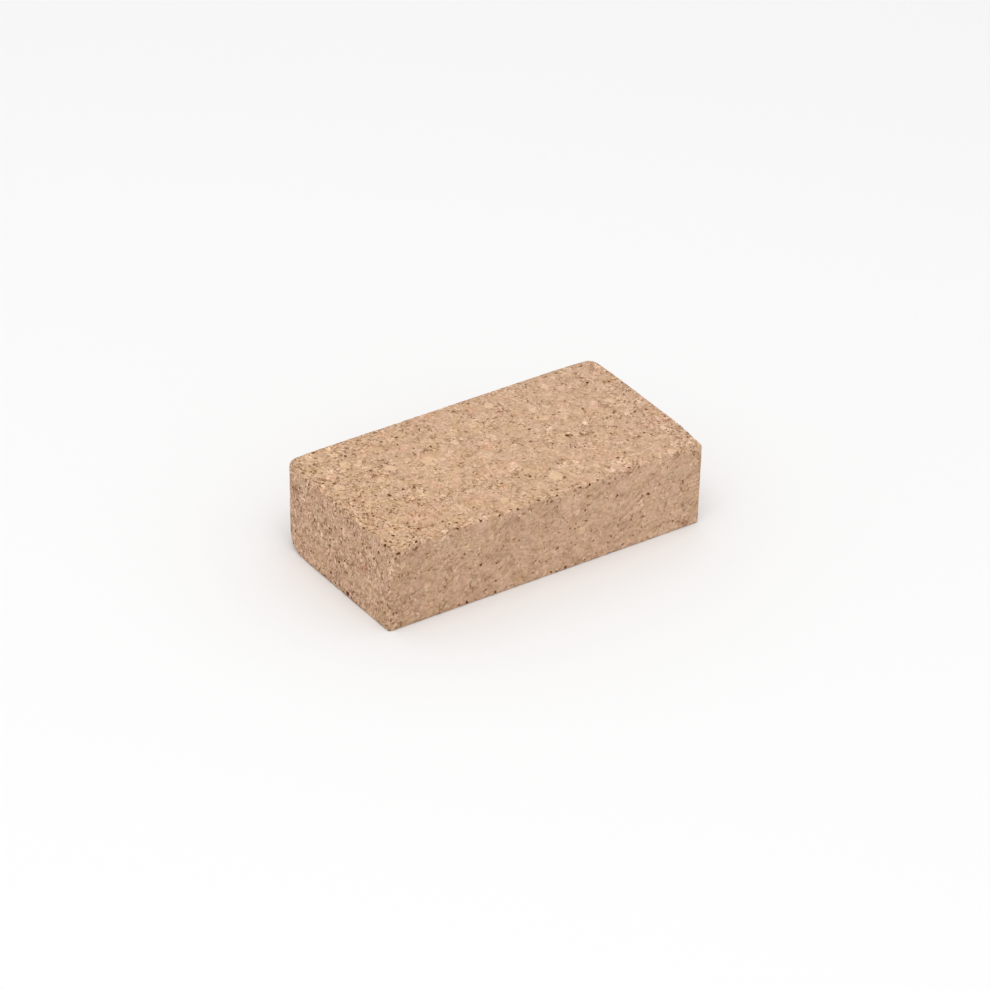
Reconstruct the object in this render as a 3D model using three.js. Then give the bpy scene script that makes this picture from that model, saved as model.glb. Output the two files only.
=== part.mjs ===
// A cork sanding block: one solid brick of pressed cork granules. Abrasive paper is
// wrapped under the flat sanding face and up the two long sides, where the hand grips it.
//
// Millimetres, +Z up. The origin is the centre of the sanding face, on which the block
// lies. +X runs along its length, -Y is the front long side and -X is the left end.

import * as THREE from 'three';

const LENGTH = 120;
const WIDTH = 60;
const HEIGHT = 30;

// Each upright edge is rounded by its own amount, because a cork block wears unevenly.
const FRONT_LEFT_RADIUS = 2;
const FRONT_RIGHT_RADIUS = 2;
const BACK_RIGHT_RADIUS = 5;
const BACK_LEFT_RADIUS = 6;

// The edges round the top face and round the sanding face are only eased.
const RIM_RADIUS = 1;

// Half the number of straight steps in each quarter circle of the outline.
const ARC_DIVISIONS = 4;
const RIM_STEPS = 4;

function addCorner(outline, sideX, sideY, radius, startAngle) {
  const centreX = sideX * (LENGTH / 2 - radius);
  const centreY = sideY * (WIDTH / 2 - radius);
  outline.absarc(centreX, centreY, radius, startAngle, startAngle + Math.PI / 2);
}

function blockOutline() {
  const outline = new THREE.Shape();
  addCorner(outline, 1, 1, BACK_RIGHT_RADIUS, 0);
  addCorner(outline, -1, 1, BACK_LEFT_RADIUS, Math.PI / 2);
  addCorner(outline, -1, -1, FRONT_LEFT_RADIUS, Math.PI);
  addCorner(outline, 1, -1, FRONT_RIGHT_RADIUS, 1.5 * Math.PI);
  outline.closePath();
  return outline;
}

function corkBlock() {
  const geometry = new THREE.ExtrudeGeometry(blockOutline(), {
    depth: HEIGHT - 2 * RIM_RADIUS,
    curveSegments: ARC_DIVISIONS,
    bevelEnabled: true,
    bevelThickness: RIM_RADIUS,
    bevelSize: RIM_RADIUS,
    bevelOffset: -RIM_RADIUS,
    bevelSegments: RIM_STEPS,
  });
  // The extrusion starts one rim radius below its own origin, so this stands it on z = 0.
  geometry.translate(0, 0, RIM_RADIUS);
  const cork = new THREE.MeshStandardMaterial({
    color: 0xc8a586,
    roughness: 0.95,
    metalness: 0,
  });
  const mesh = new THREE.Mesh(geometry, cork);
  mesh.name = 'cork_block';
  return mesh;
}

const sandingBlock = new THREE.Group();
sandingBlock.name = 'sanding_block';
sandingBlock.add(corkBlock());

export default sandingBlock;
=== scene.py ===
"""The looks of a cork sanding block: one worn brick of pressed cork granules.

Lengths are in millimetres until they reach Blender, which works in metres. A tone is a
brightness as a screen shows it, from 0 to 255.
"""

import math

import bpy
import numpy as np
from mathutils import Matrix, Vector


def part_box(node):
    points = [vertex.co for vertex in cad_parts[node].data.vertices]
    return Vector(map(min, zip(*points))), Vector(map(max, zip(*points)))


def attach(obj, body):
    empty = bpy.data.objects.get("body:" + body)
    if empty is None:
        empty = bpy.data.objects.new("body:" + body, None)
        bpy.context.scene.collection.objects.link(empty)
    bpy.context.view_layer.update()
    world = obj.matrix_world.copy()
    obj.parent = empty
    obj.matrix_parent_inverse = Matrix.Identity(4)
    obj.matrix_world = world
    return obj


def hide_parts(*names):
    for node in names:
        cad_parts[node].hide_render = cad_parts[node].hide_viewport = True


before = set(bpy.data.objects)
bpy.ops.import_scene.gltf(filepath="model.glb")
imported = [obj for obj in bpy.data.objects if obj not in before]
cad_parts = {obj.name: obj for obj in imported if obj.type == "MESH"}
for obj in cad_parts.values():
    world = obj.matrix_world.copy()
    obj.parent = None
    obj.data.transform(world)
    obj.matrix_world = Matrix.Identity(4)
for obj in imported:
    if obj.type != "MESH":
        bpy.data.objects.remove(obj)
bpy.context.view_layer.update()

MM = 0.001
CAD_NODE = "cork_block"
BOX_LOW, BOX_HIGH = (np.array(corner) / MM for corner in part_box(CAD_NODE))
CENTRE = (BOX_LOW + BOX_HIGH) / 2
HALF = (BOX_HIGH - BOX_LOW) / 2
# The x of the two ends, to the nearest micrometre.
LEFT, RIGHT = (round(float(corner[0]), 3) for corner in (BOX_LOW, BOX_HIGH))


# ---------------------------------------------
# The worn outer shape
# ---------------------------------------------

# By the signs of x and y, each upright edge's radius at the underside and at the top, and how
# much more of the edges round the underside and the top is lost at its two corners.
UPRIGHT_EDGES = {
    (-1, -1): (1.3, 2.3, 0.0, 0.7),
    (1, -1): (0.6, 2.5, 0.2, 2.4),
    (1, 1): (4.0, 3.6, 0.5, 0.8),
    (-1, 1): (9.0, 4.7, 6.0, 0.8),
}
# How far along the rims a worn corner reaches.
CORNER_REACH = 8.0
# The radius of the rim round the underside, and of the top's near and far rims.
LOW_RIM = 0.6
NEAR_RIM, FAR_RIM = 0.45, 1.0
# A rim is never rounder than this share of the upright edge that it meets.
RIM_LIMIT = 0.95

# The grid's cells are about this wide, and finer towards the edges by this share.
GRID_STEP = 0.3
EDGE_FINENESS = 0.6
FINAL_TRIANGLES = 190_000
TINY = 1e-9


def box_surface(counts):
    """The points and quads of a box's surface, with counts cells along its three axes."""
    on_surface = np.zeros([n + 1 for n in counts], bool)
    for axis in range(3):
        for end in (0, -1):
            on_surface[(slice(None),) * axis + (end,)] = True
    ids = np.full(on_surface.shape, -1, np.int32)
    ids[on_surface] = np.arange(on_surface.sum())
    quads = []
    for axis in range(3):
        for end in (0, -1):
            side = ids.take(end, axis=axis)
            corners = [side[:-1, :-1], side[1:, :-1], side[1:, 1:], side[:-1, 1:]]
            if (end == -1) == (axis == 1):
                corners.reverse()
            quads.append(np.stack(corners, -1).reshape(-1, 4))
    even = np.argwhere(on_surface) / counts * 2 - 1
    crowded = np.sin(even * math.pi / 2)
    return (even + EDGE_FINENESS * (crowded - even)) * HALF, np.concatenate(quads)


def square_to_disc(a, b):
    """Bends the square where a and b are positive into a quarter disc of the same radius."""
    inside = (a > 0) & (b > 0)
    length = np.hypot(a, b)
    shrink = np.where(inside, np.maximum(a, b) / np.maximum(length, TINY), 1.0)
    return a * shrink, b * shrink


def upright_wear(points):
    """Each point's upright radius, and how much more of the rim its corner has lost."""
    x, y, z = points.T
    share = (z / HALF[2] + 1) / 2
    upright, corner_extra = np.zeros((2, len(points)))
    for (sign_x, sign_y), (low, high, low_extra, high_extra) in UPRIGHT_EDGES.items():
        here = (x * sign_x >= 0) & (y * sign_y >= 0)
        upright[here] = (low + (high - low) * share)[here]
        corner_extra[here] = np.where(z > 0, high_extra, low_extra)[here]
    return upright, corner_extra


def rim_radius(points, upright, corner_extra):
    """Each point's radius of the rim round the top or the underside."""
    x, y, z = points.T
    to_corner = np.hypot(HALF[0] - np.abs(x), HALF[1] - np.abs(y)) / CORNER_REACH
    top_rim = NEAR_RIM + (FAR_RIM - NEAR_RIM) * (y / HALF[1] + 1) / 2
    rim = np.where(z > 0, top_rim, LOW_RIM)
    rim = rim + corner_extra * np.exp(-to_corner**2)
    return np.minimum(rim, RIM_LIMIT * upright)


def worn(points):
    """A box's surface points, moved to the block with its edges and corners rounded."""
    x, y, z = points.T
    across, along = np.abs(x), np.abs(y)
    upright, corner_extra = upright_wear(points)
    rim = rim_radius(points, upright, corner_extra)

    depth = np.minimum(HALF[0] - across, HALF[1] - along)
    sideways, upwards = square_to_disc(rim - depth, rim - (HALF[2] - np.abs(z)))
    new_depth = rim - sideways
    new_z = np.sign(z) * (HALF[2] - (rim - upwards))

    by_x = HALF[0] - across < HALF[1] - along
    new_x = np.where(by_x, HALF[0] - new_depth, across)
    new_y = np.where(by_x, along, HALF[1] - new_depth)
    in_x, in_y = across - (HALF[0] - upright), along - (HALF[1] - upright)
    in_corner = (in_x > 0) & (in_y > 0)
    reach = (upright - new_depth) / np.maximum(np.hypot(in_x, in_y), TINY)
    new_x = np.where(in_corner, HALF[0] - upright + in_x * reach, new_x)
    new_y = np.where(in_corner, HALF[1] - upright + in_y * reach, new_y)
    return np.stack([np.sign(x) * new_x, np.sign(y) * new_y, new_z], 1)


def new_mesh(name, points, quads):
    mesh = bpy.data.meshes.new(name)
    mesh.vertices.add(len(points))
    mesh.vertices.foreach_set("co", points.astype(np.float32).ravel())
    mesh.loops.add(quads.size)
    mesh.loops.foreach_set("vertex_index", quads.astype(np.int32).ravel())
    mesh.polygons.add(len(quads))
    mesh.polygons.foreach_set("loop_start", np.arange(len(quads), dtype=np.int32) * 4)
    mesh.update(calc_edges=True)
    mesh.shade_smooth()
    return mesh


# ---------------------------------------------
# Nodes
# ---------------------------------------------


class Maker:
    """Adds nodes to one tree. Every input is a number, a tuple or another node's output."""

    def __init__(self, tree):
        self.tree = tree

    def node(self, kind, inputs=None, **settings):
        made = self.tree.nodes.new(kind)
        for name, value in settings.items():
            setattr(made, name, value)
        for key, value in (inputs or {}).items():
            self.feed(made.inputs[key], value)
        return made

    def feed(self, socket, value):
        if isinstance(value, bpy.types.NodeSocket):
            self.tree.links.new(value, socket)
        else:
            socket.default_value = value

    def math(self, operation, a, b=0.0, c=0.0):
        inputs = {0: a, 1: b, 2: c}
        return self.node("ShaderNodeMath", inputs, operation=operation).outputs[0]

    def vector(self, operation, a, b=(0, 0, 0)):
        return self.node("ShaderNodeVectorMath", {0: a, 1: b}, operation=operation).outputs[0]

    def scaled(self, a, factor):
        inputs = {0: a, "Scale": factor}
        return self.node("ShaderNodeVectorMath", inputs, operation="SCALE").outputs[0]

    def parts(self, vector):
        return self.node("ShaderNodeSeparateXYZ", {0: vector}).outputs[:3]

    def ramp(self, value, start, end, low=0.0, high=1.0):
        """low up to start, high from end on, and a smooth change between them."""
        inputs = {"Value": value, 1: start, 2: end, 3: low, 4: high}
        kind = "ShaderNodeMapRange"
        return self.node(kind, inputs, interpolation_type="SMOOTHSTEP").outputs[0]

    def noise(self, at, size, detail=2.0):
        """A noise from 0 to 1, and one for each axis, whose lumps are about size apart."""
        inputs = {"Vector": at, "Scale": 1 / size, "Detail": detail}
        made = self.node("ShaderNodeTexNoise", inputs)
        return made.outputs[0], made.outputs[1]

    def cells(self, at, size):
        """Each cell's three random numbers and the distance to its centre, in cell sizes."""
        inputs = {"Vector": at, "Scale": 1 / size}
        made = self.node("ShaderNodeTexVoronoi", inputs)
        return self.parts(made.outputs["Color"]), made.outputs["Distance"]

    def seams(self, at, size):
        """The distance to the nearest wall between cells, in cell sizes."""
        inputs = {"Vector": at, "Scale": 1 / size}
        kind = "ShaderNodeTexVoronoi"
        return self.node(kind, inputs, feature="DISTANCE_TO_EDGE").outputs["Distance"]


def product(make, first, *others):
    for other in others:
        first = make.math("MULTIPLY", first, other)
    return first


def total(make, first, *others):
    for other in others:
        first = make.math("ADD", first, other)
    return first


def swing(make, value, amount):
    """From -amount to amount as value goes from 0 to 1."""
    return make.math("MULTIPLY_ADD", value, 2 * amount, -amount)


def less(make, share, mask):
    """1 outside a mask, and less by this share inside it."""
    return make.math("MULTIPLY_ADD", mask, -share, 1.0)


def waves(make, at, size, reach, detail=2.0):
    """An offset of up to half of reach either way, in waves about size long."""
    either_way = make.vector("SUBTRACT", make.noise(at, size, detail)[1], (0.5, 0.5, 0.5))
    return make.scaled(either_way, reach)


# ---------------------------------------------
# Cork as a field in space, the same for the relief of the mesh and for the material
# ---------------------------------------------

# The sizes of the granules, from the few large ones down to the crumbs that fill the rest,
# and the share of the large and the medium cells that hold one.
LARGE, MEDIUM, FINE = 4.6, 1.9, 0.85
LARGE_SHARE, MEDIUM_SHARE = 0.07, 0.45
# The sizes of the cells that hold one chip, one void or one speck each, or none.
CHIP, VOID, SPECK = 1.6, 2.2, 1.3
# The length and the reach of the waves that bend the granules.
FINE_WAVES = (0.6, 0.7)
BROAD_WAVES = (2.6, 2.2)
# Of a cell's chances from 0 to 1, those past the first of these begin to make a chip or a
# void, and those past the second make a full one. Crumbly cork adds to both chances.
RARE = (0.93, 0.98)
CHIP_BONUS, VOID_BONUS = 0.15, 0.3

# How crumbly the cork is at the left end, at the right end, along the edges and in patches,
# with how far from the end or the edge that reaches, and how far apart the patches are.
LEFT_CRUMBLY, LEFT_REACH = 0.5, 45.0
RIGHT_CRUMBLY, RIGHT_REACH = 0.35, 22.0
EDGE_CRUMBLY, EDGE_REACH = 0.4, 4.0
PATCH_CRUMBLY, PATCH_SIZE = 0.5, 8.0
# The noise at which a patch begins and at which it is in full.
PATCH_RANGE = (0.45, 0.66)
# The share of that which the ends and the long sides are without.
END_SOUND, LONG_SIDE_SOUND = 0.3, 0.45

# How far past an edge the finish of one side gives way to the next side's.
SIDE_BLEND = 0.4
# The seams' depth, and their half width in cell sizes.
SEAM_DEPTH, SEAM_WIDTH = 0.08, 0.1
# The deepest that a chip can be, and how far from an edge chips reach.
CHIP_DEPTH, CHIP_REACH = 0.5, 1.0
# Each medium granule stands back by the first of these, and by up to the second more.
STEP_DEPTH, STEP_RANGE = 0.04, 0.05
# A void's depth for each cell size that a point is inside its rim, and its least radius and
# how much larger it may be, in cell sizes.
VOID_STEEPNESS = 3.0
VOID_RADIUS, VOID_RANGE = 0.1, 0.16


def warped(make, at):
    """Bends space a little, so that the granules are irregular rather than crystals."""
    bent = make.vector("ADD", at, waves(make, at, *FINE_WAVES))
    return make.vector("ADD", bent, waves(make, at, *BROAD_WAVES))


def depths(make, at):
    """How far a point is inside each pair of faces: the ends, the long sides, the top."""
    middle = tuple(float(c) for c in CENTRE)
    size = make.vector("ABSOLUTE", make.vector("SUBTRACT", at, middle))
    return make.parts(make.vector("SUBTRACT", tuple(float(h) for h in HALF), size))


def edge_distance(make, at):
    """How far a surface point is from the nearest edge of the block."""
    x, y, z = depths(make, at)
    low = make.math("MINIMUM", make.math("MINIMUM", x, y), z)
    high = make.math("MAXIMUM", make.math("MAXIMUM", x, y), z)
    return make.math("SUBTRACT", make.math("SUBTRACT", total(make, x, y, z), low), high)


def facing(make, at, axis):
    """1 on the two sides that face along this axis, from 0 for x to 2 for z, 0 elsewhere."""
    spare = list(depths(make, at))
    own = spare.pop(axis)
    lead = make.math("SUBTRACT", make.math("MINIMUM", *spare), own)
    return make.ramp(lead, -SIDE_BLEND, SIDE_BLEND)


def crumbly(make, at):
    """How full of holes the cork is: most at the left end and at edges, least on the long
    sides."""
    x, _, _ = make.parts(at)
    at_left = make.ramp(x, LEFT, LEFT + LEFT_REACH, LEFT_CRUMBLY, 0.0)
    at_right = make.ramp(x, RIGHT - RIGHT_REACH, RIGHT, 0.0, RIGHT_CRUMBLY)
    at_edge = make.ramp(edge_distance(make, at), 0.0, EDGE_REACH, EDGE_CRUMBLY, 0.0)
    patch = make.ramp(make.noise(at, PATCH_SIZE)[0], *PATCH_RANGE, 0.0, PATCH_CRUMBLY)
    sound = less(make, END_SOUND, facing(make, at, 0))
    sound = make.math("MULTIPLY_ADD", facing(make, at, 1), -LONG_SIDE_SOUND, sound)
    return product(make, total(make, at_left, at_right, at_edge, patch), sound)


def granules(make, bent, size, share):
    """One size of granule: 1 inside the share of cells that hold one, each cell's three
    random numbers, and the distance to its wall in cell sizes."""
    randoms, _ = make.cells(bent, size)
    wall = make.seams(bent, size)
    held = make.ramp(randoms[0], 1 - share, 1.01 - share)
    return held, randoms, wall


def voids(make, bent, open_cork):
    """How deep a point lies inside one of the small holes between granules."""
    (chance, size, _), distance = make.cells(bent, VOID)
    chance = make.math("MULTIPLY_ADD", open_cork, VOID_BONUS, chance)
    radius = make.math("MULTIPLY", make.ramp(chance, *RARE),
                       make.math("MULTIPLY_ADD", size, VOID_RANGE, VOID_RADIUS))
    return make.math("MAXIMUM", make.math("SUBTRACT", radius, distance), 0.0)


def relief(make, at):
    """How deep the surface lies below the worn shape."""
    bent = warped(make, at)
    open_cork = crumbly(make, at)
    medium, _ = make.cells(bent, MEDIUM)
    step = make.math("MULTIPLY_ADD", medium[1], STEP_RANGE, STEP_DEPTH)
    seam = make.ramp(make.seams(bent, MEDIUM), 0.0, SEAM_WIDTH, SEAM_DEPTH, 0.0)
    hole = make.math("MULTIPLY", voids(make, bent, open_cork), VOID_STEEPNESS)
    (lost, how_deep, _), _ = make.cells(bent, CHIP)
    near_edge = make.ramp(edge_distance(make, at), 0.0, CHIP_REACH, 1.0, 0.0)
    lost = make.math("MULTIPLY_ADD", open_cork, CHIP_BONUS, lost)
    chip = product(make, make.ramp(lost, *RARE), near_edge, how_deep, CHIP_DEPTH)
    return total(make, step, seam, hole, chip)


def relief_modifier(piece):
    tree = bpy.data.node_groups.new("cork_relief", "GeometryNodeTree")
    tree.interface.new_socket("Geometry", in_out="INPUT", socket_type="NodeSocketGeometry")
    tree.interface.new_socket("Geometry", in_out="OUTPUT", socket_type="NodeSocketGeometry")
    make = Maker(tree)
    shape_in = make.node("NodeGroupInput").outputs[0]
    at = make.scaled(make.node("GeometryNodeInputPosition").outputs[0], 1 / MM)
    normal = make.node("GeometryNodeInputNormal").outputs[0]
    depth = make.math("MULTIPLY", relief(make, at), -MM)
    moved = make.node("GeometryNodeSetPosition",
                      {"Geometry": shape_in, "Offset": make.scaled(normal, depth)})
    make.node("NodeGroupOutput", {0: moved.outputs[0]})
    piece.modifiers.new("relief", "NODES").node_group = tree


# ---------------------------------------------
# The marks that stand out: the x, y, z and radius of each
# ---------------------------------------------

PALE_GRANULES = [
    (-54, 8, 30, 2.0), (-45, 18, 30, 2.2), (-34, 9, 30, 2.0), (-21, 6, 30, 2.9),
    (-14, 6, 30, 1.2), (14, 23, 30, 2.0), (25, 8, 30, 1.6), (36, 23, 30, 1.7),
    (8, -21, 30, 2.6), (49, 6, 30, 1.5), (48, -28, 30, 1.8), (13, -30, 13, 1.6),
    (24.5, 14, 30, 1.3), (-17, 5, 30, 1.2), (18, -21, 30, 1.3), (-14, -24, 30, 1.6),
]
PINK_GRANULES = [
    (-25, 26, 30, 2.6), (7, 24, 30, 2.8), (-25, 16, 30, 2.3), (-27, -7, 30, 2.2),
    (-1, 3, 30, 2.4), (-10, -18, 30, 2.2), (7, -16, 30, 1.8), (30, -21, 30, 1.8),
    (56, 15, 30, 1.8), (56, -5, 30, 2.0), (-43, -16, 30, 2.6), (-60, -15, 16, 2.4),
    (-52, -20, 30, 2.4), (-46, -24, 30, 2.2),
]
BARK_PATCHES = [
    (25.5, -4.5, 30, 1.5), (-33, -3, 30, 1.1), (-39, 16, 30, 1.5), (-29, 18, 30, 0.9),
    (-12, 17, 30, 1.6), (-2, -13, 30, 1.8), (-49, -25, 30, 1.6), (10, -23, 30, 1.2),
    (34, -27, 30, 1.0), (-60, -10, 3, 1.0), (-21, -30, 23, 0.9), (28, -30, 12, 0.9),
]
# Holes given as painted shade: a dark colour, without a hollow in the mesh.
HOLES = [
    (-22, 22.5, 30, 0.6), (-24.5, 19, 30, 0.6), (-54, 10.5, 30, 0.6), (-57, 12.5, 30, 0.6),
    (-40, 11, 30, 0.6), (-43, -3.5, 30, 0.7), (-13.5, 0, 30, 0.5), (13, -1, 30, 0.5),
    (52, -3.5, 30, 0.6), (55.5, 15, 30, 0.6), (49, 18, 30, 0.6), (47, -15, 30, 0.5),
    (-55, -22.5, 30, 0.7), (-34, -26.5, 30, 0.6), (31, -22.5, 30, 0.6), (-54, -10.5, 30, 0.5),
    (-26, -30, 13.5, 0.7), (38.5, -30, 18, 0.7), (14.5, -30, 16, 0.5), (-4.5, -30, 7.5, 0.5),
    (26, -30, 21.5, 0.5), (2, -30, 1, 0.6), (30, -30, 2, 0.5), (-60, -16, 23, 0.6),
    (-60, -25, 29.5, 0.7), (-58, -30, 28.5, 0.7), (-60, -14, 29.5, 0.7), (-60, 3, 15.5, 0.6),
    (-36, -29.5, 30, 0.6), (-27, -29.5, 30, 0.7), (-5, -29.5, 30, 0.6), (18, -29.5, 30, 0.6),
    (-33.5, -30, 1, 0.5), (-30.5, -30, 1, 0.6), (-19.5, -30, 1, 0.6), (4, -30, 0.5, 0.6),
    (7.5, -30, 1, 0.5), (15, -30, 1, 0.5), (-60, -7.5, 1.5, 0.8), (-60, 5, 1, 0.5),
    (-20, -30, 29.5, 0.5), (-13, -30, 29.5, 0.5), (-1, -30, 29.5, 0.5), (2, -30, 29.5, 0.7),
    (11, -30, 29.5, 0.6), (14.5, -30, 29.5, 0.7), (25, -4, 30, 0.6), (26.5, -4.5, 30, 0.5),
    (-48, -21, 30, 0.5), (-46, -23.5, 30, 0.6), (-52, -18, 30, 0.5), (-50, -26.5, 30, 0.6),
]
# How far inside a mark, as a share of its radius, it first shows in full.
PALE_CORE, PINK_CORE, BARK_CORE, HOLE_CORE = 0.75, 0.2, 0.5, 0.6
# The length and the reach of the waves that make the marks' outlines ragged.
RAGGED_WAVES = (1.1, 1.6)


def inside_marks(make, ragged, marks, core):
    """1 inside the nearest of some marks, falling to 0 at its rim."""
    nearest = 9.0
    for x, y, z, radius in marks:
        inputs = {0: ragged, 1: (x, y, z)}
        far = make.node("ShaderNodeVectorMath", inputs, operation="DISTANCE").outputs["Value"]
        nearest = make.math("MINIMUM", nearest, make.math("DIVIDE", far, radius))
    return make.ramp(nearest, core, 1.0, 1.0, 0.0)


# ---------------------------------------------
# The material
# ---------------------------------------------

# How much redder, less green and less blue than its own tone the cork is.
CORK_HUE = (28, -7, -37)
MEAN_TONE = 174
DARKEST_TONE = 50
# The tones at which the colour is worked out, and the limits of each colour channel.
TONE_STOPS = range(30, 256, 25)
CHANNEL_LIMITS = (6, 250)

# What each feature adds to the tone where it shows in full. The gaps' darkening is partly dark
# binder and partly painted shade, and the holes' darkening is painted shade.
GAP_BINDER_AND_SHADE_TONE, SPECK_TONE, HOLE_SHADE_TONE, BARK_TONE = -51, -75, -100, -30
PALE_GRANULE_TONE, PALE_SPECK_TONE = 16, 22
FLAKE_TONE, LARGE_TONE = 13, 10
# How far each kind of unevenness swings the tone either way: the grit inside granules, whole
# fine and medium granules, the broad clouds, and the streaks and saw marks on the sides.
GRIT_SWING, CRUMB_SWING, LUMP_SWING, CLOUD_SWING = 21, 14, 11, 13
STREAK_SWING, SAW_SWING = 24, 50
# How strongly the whole grain shows where gaps are few and where they are many, and the
# values of clusters() between which that changes.
LIVELINESS = (0.75, 1.35)
LIVELY_CLUSTER = (0.4, 0.7)

# The sizes of the unevenness that isn't tied to granules.
GRIT_SIZE, GAP_PATCH_SIZE, CLUSTER_SIZE, CLOUD_SIZE = 0.36, 0.8, 3.4, 4.0
HUE_SIZE, BUMP_SIZE = 6.0, 0.3
# The width of the streaks and of the saw marks, how much each axis is squeezed to make them
# long along it, and the length and the reach of the waves that curve the streaks.
STREAK_WIDTH, STREAK_SQUEEZE = 1.4, (0.14, 0.5, 1.0)
SAW_WIDTH, SAW_SQUEEZE = 0.42, (1.0, 1.0, 0.35)
STREAK_WAVES = (16.0, 22.0)

# How much crumbly cork adds to clusters(), and what keeps its average near 0.5.
CLUSTER_BONUS, CLUSTER_SHIFT = 0.26, -0.05
# How far from a wall, in cell sizes, the gap along it begins to close and has closed.
FINE_WALL, MEDIUM_WALL = (0.04, 0.2), (0.01, 0.1)
# How far from a wall, in cell sizes, a flake or a large granule begins to be pale and is.
FLAKE_WALL, LARGE_WALL = (0.03, 0.1), (0.03, 0.12)
# How far from a fine granule's centre, in cell sizes, the meeting of several begins and is
# whole, how strong the gap there is among few gaps and among many, and the values of
# clusters() between which that changes.
MEETING_PLACE = (0.67, 0.78)
MEETING_GAP = (0.35, 1.4)
MEETING_CLUSTER = (0.42, 0.7)
# How strong the gaps are along walls, and the share of that round medium granules. Walls are
# open in patches: where noise and clusters(), in these shares, come past these values.
WALL_GAP, MEDIUM_GAP = 0.55, 0.8
NOISE_SHARE, CLUSTER_SHARE = 0.75, 0.25
OPEN_WALL = (0.5, 0.6)
# A speck's least radius, how much larger it may be and how soft its rim is, in cell sizes.
SPECK_RADIUS, SPECK_RANGE, SPECK_RIM = 0.14, 0.24, 0.06
# The chances past which a cell begins to hold a dark speck, a pale speck or a pale flake, and
# past which it is in full, and how much clusters() adds to the chances of both specks.
DARK_CHANCE, PALE_CHANCE, FLAKE_CHANCE = (1.14, 1.17), (1.0, 1.06), (0.8, 0.84)
DARK_BONUS, PALE_BONUS = 0.6, 0.4
# How far inside a void, in cell sizes, it is as dark as a hole's painted shade.
VOID_RIM = 0.05
# Painted shade added to the tone of the upright sides: at the block's middle, and more for each
# millimetre of x.
SIDE_SHADE_TONE, SIDE_SHADE_SLOPE = -3.4, 0.025
# What is added to the tone of the long sides at the first x, fading out by the second.
DARK_END_TONE, DARK_END = -8.0, (-62.0, -34.0)

# How strongly the grain and the gaps show on the long sides, the share of them that a pale
# granule is without, and how strongly the gaps and the grain show on the ends.
LONG_SIDE_GRAIN = 0.76
PALE_SMOOTHNESS = 0.68
END_GAPS, END_GRAIN = 0.8, 1.1
# How far below the top, or above the underside, the look of the upright sides begins and is
# whole.
SIDE_START = (0.3, 0.9)

# The colours by which the cork is multiplied: on the upright sides, in pale granules, in pink
# granules, and along two slow drifts of hue, each by the value of its noise.
SIDE_TINT = (1.0, 1.006, 1.036, 1.0)
CREAM_TINT = (1.005, 1.0, 0.955, 1.0)
PINK_TINT = (1.04, 0.94, 0.94, 1.0)
NO_TINT = (1.0, 1.0, 1.0, 1.0)
YELLOW_TO_COOL = [
    (0.34, (1.012, 1.0, 0.94, 1.0)),
    (0.5, NO_TINT),
    (0.66, (1.0, 1.0, 1.035, 1.0)),
]
GREEN_TO_PINK = [
    (0.34, (0.998, 1.004, 0.985, 1.0)),
    (0.5, NO_TINT),
    (0.66, (1.025, 0.975, 0.995, 1.0)),
]
# The top is yellower towards its left and near edges, by this much for each millimetre.
TOP_DRIFT = (0.0015, 0.001)

# The finest relief, which only shades.
BUMP_DEPTH, BUMP_STRENGTH = 0.1, 0.6
SMOOTH_ROUGHNESS, GAP_ROUGHNESS = 0.88, 0.98
SPECULAR_LEVEL = 0.25


def linear(red, green, blue):
    """A colour given as 0 to 255 on a screen, as the shader's linear colour."""
    def one(value):
        share = value / 255
        return share / 12.92 if share <= 0.04045 else ((share + 0.055) / 1.055) ** 2.4
    return (one(red), one(green), one(blue), 1.0)


def colour_ramp(make, value, stops):
    made = make.node("ShaderNodeValToRGB", {0: value})
    elements = made.color_ramp.elements
    while len(elements) < len(stops):
        elements.new(1.0)
    for element, (place, colour) in zip(elements, stops):
        element.position = place
        element.color = colour
    return made.outputs[0]


def multiplied(make, share, a, b):
    """a, or as share goes to 1, a times b."""
    made = make.node("ShaderNodeMix", data_type="RGBA", blend_type="MULTIPLY")
    make.feed(made.inputs[0], share)
    make.feed(made.inputs[6], a)
    make.feed(made.inputs[7], b)
    return made.outputs[2]


def cork_of_tone(make, tone):
    """Cork of a tone: dark brown in the painted shade of the holes, tan, and pale flakes."""
    lowest, highest = CHANNEL_LIMITS
    stops = []
    for level in TONE_STOPS:
        red, green, blue = (min(max(level + hue, lowest), highest) for hue in CORK_HUE)
        stops.append((level / 255, linear(red, green, blue)))
    return colour_ramp(make, make.math("DIVIDE", tone, 255), stops)


def tint(make, at, ragged, granule):
    """The drift of the cork's colour from yellowish to pink, its cream and its pink
    granules."""
    drift, blush, _ = make.parts(make.noise(at, HUE_SIZE, 3.0)[1])
    x, y, _ = make.parts(at)
    _, _, z = depths(make, at)
    slope = make.math("MULTIPLY_ADD", x, TOP_DRIFT[0], make.math("MULTIPLY", y, TOP_DRIFT[1]))
    on_top = make.ramp(z, *SIDE_START, 1.0, 0.0)
    drift = total(make, drift, product(make, slope, on_top))
    colour = colour_ramp(make, drift, YELLOW_TO_COOL)
    colour = multiplied(make, 1.0, colour, colour_ramp(make, blush, GREEN_TO_PINK))
    colour = multiplied(make, make.ramp(z, *SIDE_START), colour, SIDE_TINT)
    colour = multiplied(make, granule, colour, CREAM_TINT)
    pink = inside_marks(make, ragged, PINK_GRANULES, PINK_CORE)
    return multiplied(make, pink, colour, PINK_TINT)


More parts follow.
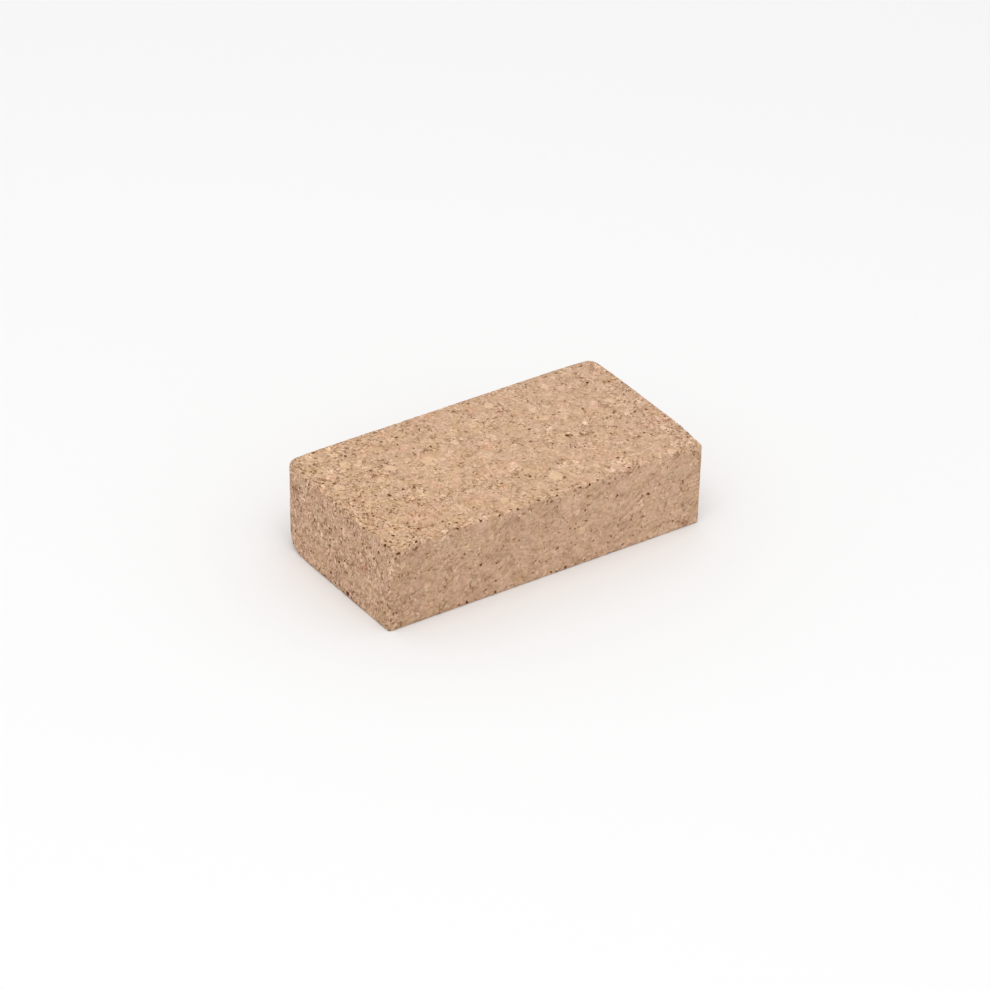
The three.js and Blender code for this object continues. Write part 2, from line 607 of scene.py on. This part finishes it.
def streaks(make, at):
    """Long thin curved marks, left where the long sides were sliced."""
    bent = make.vector("ADD", at, waves(make, at, *STREAK_WAVES, 0.0))
    return make.noise(make.vector("MULTIPLY", bent, STREAK_SQUEEZE), STREAK_WIDTH)[0]


def saw_marks(make, at):
    """Fine short upright marks, left where the ends were sawn."""
    return make.noise(make.vector("MULTIPLY", at, SAW_SQUEEZE), SAW_WIDTH)[0]


def clusters(make, at, open_cork):
    """How thickly the gaps and crumbs of bark lie here, about 0.5 on average."""
    patch = make.noise(at, CLUSTER_SIZE, 3.0)[0]
    return total(make, make.math("MULTIPLY", open_cork, CLUSTER_BONUS), patch, CLUSTER_SHIFT)


def crevices(make, at, bent, cluster):
    """1 in the gaps between granules, darkened by dark binder and painted shade: most often
    where several meet, less along walls.
    """
    _, far = make.cells(bent, FINE)
    fine_wall = make.seams(bent, FINE)
    medium_here, _, medium_wall = granules(make, bent, MEDIUM, MEDIUM_SHARE)
    patch = make.noise(at, GAP_PATCH_SIZE)[0]
    patchy = total(make, make.math("MULTIPLY", patch, NOISE_SHARE),
                   make.math("MULTIPLY", cluster, CLUSTER_SHARE))
    open_wall = make.ramp(patchy, *OPEN_WALL, 0.0, WALL_GAP)
    small = make.ramp(fine_wall, *FINE_WALL, 1.0, 0.0)
    wide = product(make, medium_here, make.ramp(medium_wall, *MEDIUM_WALL, MEDIUM_GAP, 0.0))
    wall = product(make, make.math("MAXIMUM", small, wide), open_wall)
    often = make.ramp(cluster, *MEETING_CLUSTER, *MEETING_GAP)
    meeting = product(make, make.ramp(far, *MEETING_PLACE), often)
    return make.math("MAXIMUM", wall, meeting)


def specks(make, bent, cluster):
    """1 in the small dark crumbs of bark, and 1 in the small pale ones."""
    (chance, size, _), distance = make.cells(bent, SPECK)
    reach = make.math("MULTIPLY_ADD", size, SPECK_RANGE, SPECK_RADIUS)
    inside = make.ramp(make.math("SUBTRACT", reach, distance), 0.0, SPECK_RIM)
    dark = make.math("MULTIPLY_ADD", cluster, DARK_BONUS, chance)
    pale = make.math("MULTIPLY_ADD", cluster, PALE_BONUS, make.math("SUBTRACT", 1.0, chance))
    return (product(make, inside, make.ramp(dark, *DARK_CHANCE)),
            product(make, inside, make.ramp(pale, *PALE_CHANCE)))


def grain(make, at, bent, cluster):
    """How much lighter or darker than the mean each granule and each spot in it is."""
    fine, _ = make.cells(bent, FINE)
    medium_here, medium, medium_wall = granules(make, bent, MEDIUM, MEDIUM_SHARE)
    large_here, _, large_wall = granules(make, bent, LARGE, LARGE_SHARE)
    grit = swing(make, make.noise(at, GRIT_SIZE)[0], GRIT_SWING)
    crumb = swing(make, fine[1], CRUMB_SWING)
    lump = product(make, swing(make, medium[1], LUMP_SWING), medium_here)
    cloud = swing(make, make.noise(at, CLOUD_SIZE)[0], CLOUD_SWING)
    flake = product(make, medium_here, make.ramp(medium[2], *FLAKE_CHANCE),
                    make.ramp(medium_wall, *FLAKE_WALL, 0, FLAKE_TONE))
    large = product(make, large_here, make.ramp(large_wall, *LARGE_WALL, 0, LARGE_TONE))
    lively = make.ramp(cluster, *LIVELY_CLUSTER, *LIVELINESS)
    return product(make, total(make, grit, crumb, lump, cloud, flake, large), lively)


def side_shade_and_dark_end(make, at, on_long):
    """How much darker the upright sides are, as painted shade, and the long sides more at the
    left end.
    """
    x, _, _ = make.parts(at)
    _, _, z = depths(make, at)
    side = product(make, make.math("MULTIPLY_ADD", x, SIDE_SHADE_SLOPE, SIDE_SHADE_TONE),
                   make.ramp(z, *SIDE_START))
    dark_end = product(make, make.ramp(x, *DARK_END, DARK_END_TONE, 0.0), on_long)
    return side, dark_end


def cork_tone(make, at, ragged, granule):
    """The cork's tone, with its painted shade, and how deep its gaps are, 0 to 1."""
    bent = warped(make, at)
    open_cork = crumbly(make, at)
    cluster = clusters(make, at, open_cork)
    on_long = facing(make, at, 1)
    on_end = facing(make, at, 0)
    smooth = product(make, make.ramp(on_long, 0.0, 1.0, 1.0, LONG_SIDE_GRAIN),
                     less(make, PALE_SMOOTHNESS, granule))
    dense = product(make, smooth, make.ramp(on_end, 0.0, 1.0, 1.0, END_GAPS))
    gap = product(make, crevices(make, at, bent, cluster), dense)
    dark_speck, pale_speck = specks(make, bent, cluster)
    speck = product(make, dark_speck, dense)
    # Voids and holes get painted shade, dark where shade would fall inside them.
    hole = make.math("MAXIMUM", make.ramp(voids(make, bent, open_cork), 0.0, VOID_RIM),
                     inside_marks(make, ragged, HOLES, HOLE_CORE))
    bark = inside_marks(make, ragged, BARK_PATCHES, BARK_CORE)
    line = product(make, swing(make, streaks(make, at), STREAK_SWING), on_long)
    hatch = product(make, swing(make, saw_marks(make, at), SAW_SWING), on_end)
    even = product(make, grain(make, at, bent, cluster), smooth,
                   make.ramp(on_end, 0.0, 1.0, 1.0, END_GRAIN))
    # side is painted shade on the upright sides.
    side, dark_end = side_shade_and_dark_end(make, at, on_long)
    pale = total(make, make.math("MULTIPLY", granule, PALE_GRANULE_TONE),
                 product(make, pale_speck, smooth, PALE_SPECK_TONE))
    # The gaps are darkened by dark binder and painted shade, and the holes by painted shade.
    dark = total(make, make.math("MULTIPLY", gap, GAP_BINDER_AND_SHADE_TONE),
                 make.math("MULTIPLY", speck, SPECK_TONE),
                 make.math("MULTIPLY", hole, HOLE_SHADE_TONE),
                 make.math("MULTIPLY", bark, BARK_TONE))
    level = total(make, even, line, hatch, side, dark_end, pale, dark, MEAN_TONE)
    tone = make.math("MAXIMUM", level, DARKEST_TONE)
    return tone, make.math("MAXIMUM", make.math("MAXIMUM", gap, speck), hole)


def cork_material():
    material = bpy.data.materials.new("pressed_cork")
    material.use_nodes = True
    tree = material.node_tree
    tree.nodes.clear()
    make = Maker(tree)
    at = make.scaled(make.node("ShaderNodeTexCoord").outputs["Object"], 1 / MM)
    ragged = make.vector("ADD", at, waves(make, at, *RAGGED_WAVES))
    granule = inside_marks(make, ragged, PALE_GRANULES, PALE_CORE)
    tone, gap = cork_tone(make, at, ragged, granule)
    hue = tint(make, at, ragged, granule)
    grit = make.math("SUBTRACT", make.noise(at, BUMP_SIZE, 3.0)[0], gap)
    bump = make.node("ShaderNodeBump", {
        "Height": grit,
        "Distance": BUMP_DEPTH * MM,
        "Strength": BUMP_STRENGTH,
    })
    shader = make.node("ShaderNodeBsdfPrincipled", {
        "Base Color": multiplied(make, 1.0, cork_of_tone(make, tone), hue),
        "Roughness": make.ramp(gap, 0.0, 1.0, SMOOTH_ROUGHNESS, GAP_ROUGHNESS),
        "Specular IOR Level": SPECULAR_LEVEL,
        "Normal": bump.outputs[0],
    })
    make.node("ShaderNodeOutputMaterial", {"Surface": shader.outputs[0]})
    return material


# ---------------------------------------------
# The block
# ---------------------------------------------

# The room between the sides in the flat map that the material is baked to.
MAP_GAP = 1.0


def read(items, field, kind, width=1):
    """One field of many mesh elements, as an array."""
    values = np.empty(len(items) * width, kind)
    items.foreach_get(field, values)
    return values


def side_of_corners(mesh, at, corner):
    """Which side of the block each face corner lies on: twice the axis, plus 1 on the high
    side."""
    starts = read(mesh.polygons, "loop_start", np.int32)
    counts = read(mesh.polygons, "loop_total", np.int32)
    middles = np.add.reduceat(at[corner], starts) / counts[:, None]
    axis = np.argmin(HALF - np.abs(middles), axis=1)
    side = axis * 2 + (middles[np.arange(len(middles)), axis] > 0)
    return np.repeat(side, counts)


def bake_map(mesh):
    """Lays the six sides flat, side by side, in a map that wastes little of its square."""
    corner = read(mesh.loops, "vertex_index", np.int32)
    at = read(mesh.vertices, "co", np.float32, 3).reshape(-1, 3) / MM - CENTRE
    side = side_of_corners(mesh, at, corner)

    long, wide, tall = HALF * 2
    # Each side's place in the map, with the two axes that run along it.
    places = {
        4: (0, 0, 0, 1),
        5: (0, wide + MAP_GAP, 0, 1),
        2: (0, 2 * (wide + MAP_GAP), 0, 2),
        3: (0, 2 * (wide + MAP_GAP) + tall + MAP_GAP, 0, 2),
        0: (long + MAP_GAP, 0, 2, 1),
        1: (long + MAP_GAP, wide + MAP_GAP, 2, 1),
    }
    width = long + MAP_GAP + tall
    height = 2 * (wide + MAP_GAP) + 2 * tall + MAP_GAP
    uv = np.empty((len(corner), 2), np.float32)
    for number, (left, bottom, along, up) in places.items():
        here = side == number
        spots = at[corner[here]]
        uv[here, 0] = (left + spots[:, along] + HALF[along]) / width
        uv[here, 1] = (bottom + spots[:, up] + HALF[up]) / height
    layer = mesh.uv_layers.new(name="OFBake")
    layer.data.foreach_set("uv", uv.ravel())


def frozen(piece):
    """The piece's mesh as its modifiers leave it."""
    graph = bpy.context.evaluated_depsgraph_get()
    mesh = bpy.data.meshes.new_from_object(piece.evaluated_get(graph))
    piece.modifiers.clear()
    return mesh


def cork_block():
    counts = np.round(2 * HALF / GRID_STEP).astype(int)
    points, quads = box_surface(counts)
    mesh = new_mesh("cork_body", (worn(points) + CENTRE) * MM, quads)
    piece = bpy.data.objects.new("cork_body", mesh)
    bpy.context.scene.collection.objects.link(piece)
    relief_modifier(piece)
    fewer = piece.modifiers.new("fewer", "DECIMATE")
    fewer.ratio = min(1.0, FINAL_TRIANGLES / (2 * len(quads)))
    piece.data = frozen(piece)
    piece.data.name = "cork_body"
    piece.data.shade_smooth()
    bake_map(piece.data)
    piece.data.materials.append(cork_material())
    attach(piece, "root")
    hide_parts(CAD_NODE)


# ---------------------------------------------
# Floor, light and camera
# ---------------------------------------------

# From here on lengths are in metres, and angles in degrees.
FLOOR_SIZE = 6.0
FLOOR_COLOUR = (0.86, 0.86, 0.86, 1)
FLOOR_ROUGHNESS = 0.8

SKY_STRENGTH = 0.85
LIGHT_AZIMUTH, LIGHT_ELEVATION = -46, 72
LIGHT_DISTANCE = 1.6
LIGHT_SIZE = 1.4
LIGHT_POWER = 9.0

CAMERA_AZIMUTH = -37.91
CAMERA_ELEVATION = 32.97
CAMERA_ROLL = 3.94
CAMERA_DISTANCE = 1.881
CAMERA_NEAR_LIMIT = 0.1
# The lens and the sensor's width, in millimetres.
LENS = 217.6
SENSOR = 36.0
# How far the frame slides over the block, as a share of the frame's width.
SHIFT = (0.0022, -0.0036)


def plain_material(name, colour, roughness):
    material = bpy.data.materials.new(name)
    material.use_nodes = True
    shader = material.node_tree.nodes["Principled BSDF"]
    shader.inputs["Base Color"].default_value = colour
    shader.inputs["Roughness"].default_value = roughness
    return material


def floor():
    half = FLOOR_SIZE / 2
    corners = np.array([(-half, -half, 0), (half, -half, 0), (half, half, 0), (-half, half, 0)])
    mesh = new_mesh("floor", corners, np.array([[0, 1, 2, 3]]))
    mesh.materials.append(plain_material("pale_floor", FLOOR_COLOUR, FLOOR_ROUGHNESS))
    piece = bpy.data.objects.new("floor", mesh)
    bpy.context.scene.collection.objects.link(piece)


def backing(azimuth, elevation):
    """The direction from the block to a viewer at this azimuth and elevation."""
    a, e = math.radians(azimuth), math.radians(elevation)
    return Vector((math.sin(a) * math.cos(e), -math.cos(a) * math.cos(e), math.sin(e)))


def overhead_light():
    data = bpy.data.lights.new("overhead", "AREA")
    data.shape = "DISK"
    data.size = LIGHT_SIZE
    data.energy = LIGHT_POWER
    light = bpy.data.objects.new("overhead", data)
    back = backing(LIGHT_AZIMUTH, LIGHT_ELEVATION)
    light.location = back * LIGHT_DISTANCE
    light.rotation_euler = back.to_track_quat("Z", "Y").to_euler()
    bpy.context.scene.collection.objects.link(light)


def studio():
    world = bpy.data.worlds.new("studio")
    world.use_nodes = True
    sky = world.node_tree.nodes["Background"]
    sky.inputs["Color"].default_value = (1.0, 1.0, 1.0, 1)
    sky.inputs["Strength"].default_value = SKY_STRENGTH
    bpy.context.scene.world = world
    overhead_light()
    bpy.context.scene.view_settings.view_transform = "Standard"


def camera():
    data = bpy.data.cameras.new("camera")
    data.sensor_width = SENSOR
    data.lens = LENS
    data.shift_x, data.shift_y = SHIFT
    data.clip_start = CAMERA_NEAR_LIMIT
    piece = bpy.data.objects.new("camera", data)
    back = backing(CAMERA_AZIMUTH, CAMERA_ELEVATION)
    turn = (back.to_track_quat("Z", "Y").to_matrix() @
            Matrix.Rotation(math.radians(CAMERA_ROLL), 3, "Z"))
    piece.matrix_world = (Matrix.Translation(Vector(CENTRE * MM) + back * CAMERA_DISTANCE) @
                          turn.to_4x4())
    bpy.context.scene.collection.objects.link(piece)
    bpy.context.scene.camera = piece


camera()
floor()
studio()
cork_block()
